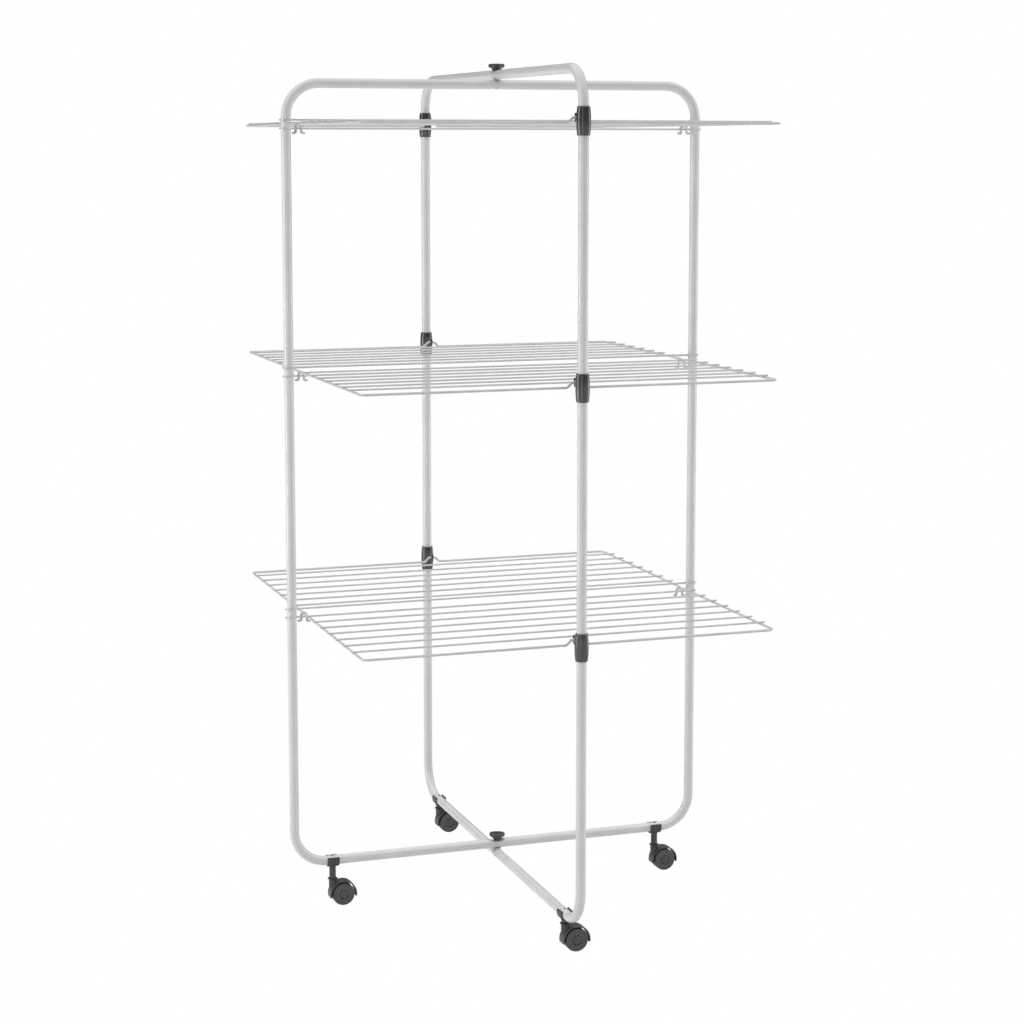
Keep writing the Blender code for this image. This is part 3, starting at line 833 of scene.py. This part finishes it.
def castors():
    """Four castors: left and right under the inner frame, front and back under the outer frame."""
    swivel = JOINTS["left_castor_swivel"]["pos_m"]
    spin = JOINTS["left_castor_front_wheel_spin"]["pos_m"]
    trail, wheel_r, neck_top = spin[0] - swivel[0], spin[2], swivel[2]
    hood, wheel = hood_mesh(trail, wheel_r, neck_top), wheel_mesh(wheel_r)
    tubes = (
        (("left", "right"), "inner_frame_body", INNER_BOTTOM, Matrix()),
        (("front", "back"), "outer_frame_body", OUTER_BOTTOM, QUARTER_TURN),
    )
    for names, body, tube_z, turn in tubes:
        holder = holder_mesh(tube_z, neck_top)
        for name in names:
            castor = name + "_castor"
            x, y, _ = JOINTS[castor + "_swivel"]["pos_m"]
            node = castor + "_holder"
            place = at(x, y, 0, turn)
            make_from_mesh(node + "_clip", holder, DARK_PLASTIC, body, [node], place)
            castor_pin(castor + "_pin", body)
            own = castor + "_body"
            node = castor + "_hood"
            make_from_mesh(node + "_shell", hood, DARK_PLASTIC, own, [node], at(x, y, 0))
            castor_axle(castor + "_axle", own)
            for side_label, way in SIDES:
                node = f"{castor}_{side_label}_wheel"
                place = at(x + trail, y, wheel_r, Matrix() if way < 0 else HALF_TURN)
                own = node + "_body"
                make_from_mesh(node + "_disc", wheel, WHEEL_PLASTIC, own, [node], place)


# ---------------------------------------------------------------- studio


def floor():
    """A wide pale floor: it throws light back up as matt white does, and looks blank white itself."""
    bm = bmesh.new()
    bmesh.ops.create_circle(bm, cap_ends=True, segments=96, radius=FLOOR_R)
    mesh = bpy.data.meshes.new("floor")
    bm.to_mesh(mesh)
    bm.free()
    plane = bpy.data.objects.new("floor", mesh)
    bpy.context.scene.collection.objects.link(plane)
    material, tree, shader, place = node_material("floor_white", 0.9)
    tone = ramp(tree, noise(tree, place, 0.6, 1), (0.78, 0.78, 0.78), (0.80, 0.80, 0.80))
    tree.links.new(tone, shader.inputs["Base Color"])
    shader.inputs["Specular IOR Level"].default_value = 0.0
    blank = tree.nodes.new("ShaderNodeEmission")
    blank.inputs["Strength"].default_value = 1.0
    seen = tree.nodes.new("ShaderNodeLightPath").outputs["Is Camera Ray"]
    mix = tree.nodes.new("ShaderNodeMixShader")
    tree.links.new(seen, mix.inputs[0])
    tree.links.new(shader.outputs[0], mix.inputs[1])
    tree.links.new(blank.outputs[0], mix.inputs[2])
    tree.links.new(mix.outputs[0], tree.nodes["Material Output"].inputs["Surface"])
    mesh.materials.append(material)


def area_light(name, place, target, size, power):
    """A soft rectangular light that looks at a point."""
    data = bpy.data.lights.new(name, "AREA")
    data.shape = "RECTANGLE"
    data.size, data.size_y = size
    data.energy = power
    light = bpy.data.objects.new(name, data)
    bpy.context.scene.collection.objects.link(light)
    light.location = place
    light.rotation_euler = (Vector(target) - Vector(place)).to_track_quat("-Z", "Y").to_euler()
    return light


def soft_world():
    """White surroundings whose light grows evenly towards the top, as under a broad ceiling light."""
    world = bpy.data.worlds.new("studio")
    bpy.context.scene.world = world
    world.use_nodes = True
    tree = world.node_tree
    tent = tree.nodes["Background"]
    backdrop = tree.nodes.new("ShaderNodeBackground")
    backdrop.inputs["Color"].default_value = (1, 1, 1, 1)
    backdrop.inputs["Strength"].default_value = 1.0
    tent.inputs["Color"].default_value = (1, 1, 1, 1)
    slope = tree.nodes.new("ShaderNodeVectorMath")
    slope.operation = "DOT_PRODUCT"
    slope.inputs[1].default_value = TENT_SLOPE
    tree.links.new(tree.nodes.new("ShaderNodeTexCoord").outputs["Generated"], slope.inputs[0])
    level = tree.nodes.new("ShaderNodeMath")
    level.operation = "ADD"
    level.inputs[1].default_value = TENT_LEVEL
    tree.links.new(slope.outputs["Value"], level.inputs[0])
    least = tree.nodes.new("ShaderNodeMath")
    least.operation = "MAXIMUM"
    least.inputs[1].default_value = TENT_LEAST
    tree.links.new(level.outputs[0], least.inputs[0])
    tree.links.new(least.outputs[0], tent.inputs["Strength"])
    seen = tree.nodes.new("ShaderNodeLightPath").outputs["Is Camera Ray"]
    mix = tree.nodes.new("ShaderNodeMixShader")
    tree.links.new(seen, mix.inputs[0])
    tree.links.new(tent.outputs[0], mix.inputs[1])
    tree.links.new(backdrop.outputs[0], mix.inputs[2])
    tree.links.new(mix.outputs[0], tree.nodes["World Output"].inputs["Surface"])


def studio():
    """The soft world, and three tall strip lights for the highlights along tubes and fittings."""
    soft_world()
    middle = (CAD_LOW + CAD_HIGH) / 2
    for name, azimuth, width, power in STRIPS:
        turn = Matrix.Rotation(math.radians(azimuth), 3, "Z")
        place = middle + turn @ Vector((STRIP_DISTANCE, 0, 0))
        area_light(name, place, middle, (width, STRIP_HEIGHT), power)


def camera():
    """The front left view, slightly above the middle. The shift keeps the uprights nearly parallel."""
    data = bpy.data.cameras.new("camera")
    data.sensor_width = SENSOR_WIDTH
    data.lens = LENS
    data.shift_y = SHIFT_Y
    data.clip_end = 100
    view = bpy.data.objects.new("camera", data)
    bpy.context.scene.collection.objects.link(view)
    view.location = CAMERA_PLACE
    view.rotation_euler = (math.pi / 2 + CAMERA_PITCH, 0, CAMERA_YAW)
    bpy.context.scene.camera = view
    bpy.context.scene.view_settings.view_transform = "Standard"


frames()
pivots()
shelves()
castors()
floor()
studio()
camera()
